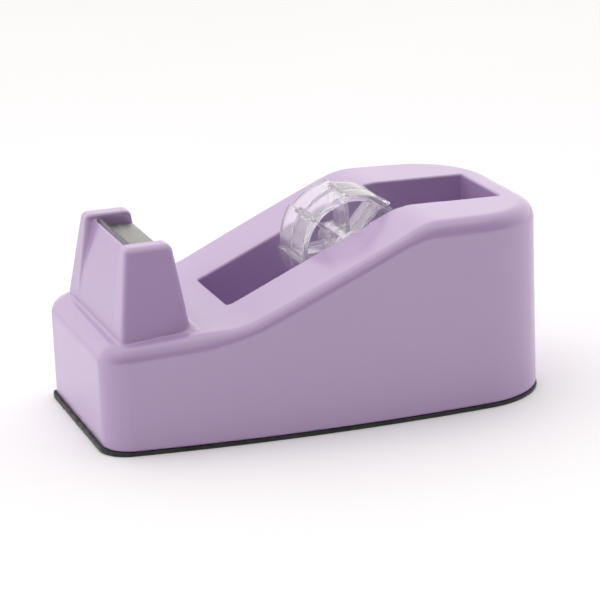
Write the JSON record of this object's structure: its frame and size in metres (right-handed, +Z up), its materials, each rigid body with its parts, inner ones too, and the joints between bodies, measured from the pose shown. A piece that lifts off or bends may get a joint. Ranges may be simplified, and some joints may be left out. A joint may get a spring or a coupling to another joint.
{
  "type": "tape dispenser",
  "caption": "Weighted desk tape dispenser: moulded housing with cutter tower, open roll well, clear hub on a lift-out axle and a foam foot.",
  "frame": {"origin": "on the table, under the middle of the foam pad's bounding box", "axes": "+X from the cutter at the front to the rear, +Y across to the right-hand hub half, +Z up"},
  "size_m": [0.103, 0.06, 0.046],
  "materials": {
    "lavender_plastic": "gloss, moulded, fine flow marks",
    "blade_steel": "ground and serrated",
    "platform_steel": "satin, lightly brushed",
    "clear_plastic": "clear polystyrene, polished",
    "base_plastic": "moulded, satin",
    "screw_steel": "zinc plated",
    "weight_steel": "as rolled",
    "adhesive": "double-sided sheet",
    "black_foam": "fine open foam"
  },
  "bodies": {
    "base": {"housing": "lavender_plastic", "cutter_blade": "blade_steel", "tape_platform": "platform_steel", "base_plate": "base_plastic", "base_screws": "screw_steel", "front_weight": "weight_steel", "left_weight": "weight_steel", "right_weight": "weight_steel", "adhesive_sheet": "adhesive", "foam_pad": "black_foam"},
    "axle": {"hub_axle": "clear_plastic"},
    "hub": {"hub_left_half": "clear_plastic", "hub_right_half": "clear_plastic"}
  },
  "joints": [
    {"name": "axle_lift", "type": "slide", "parent": "base", "child": "axle", "axis": [0, 0, 1], "range_m": [0, 0.035]},
    {"name": "hub_spin", "type": "hinge", "parent": "axle", "child": "hub", "pos_m": [0.0118, 0, 0.033], "axis": [0, 1, 0], "continuous": true}
  ]
}
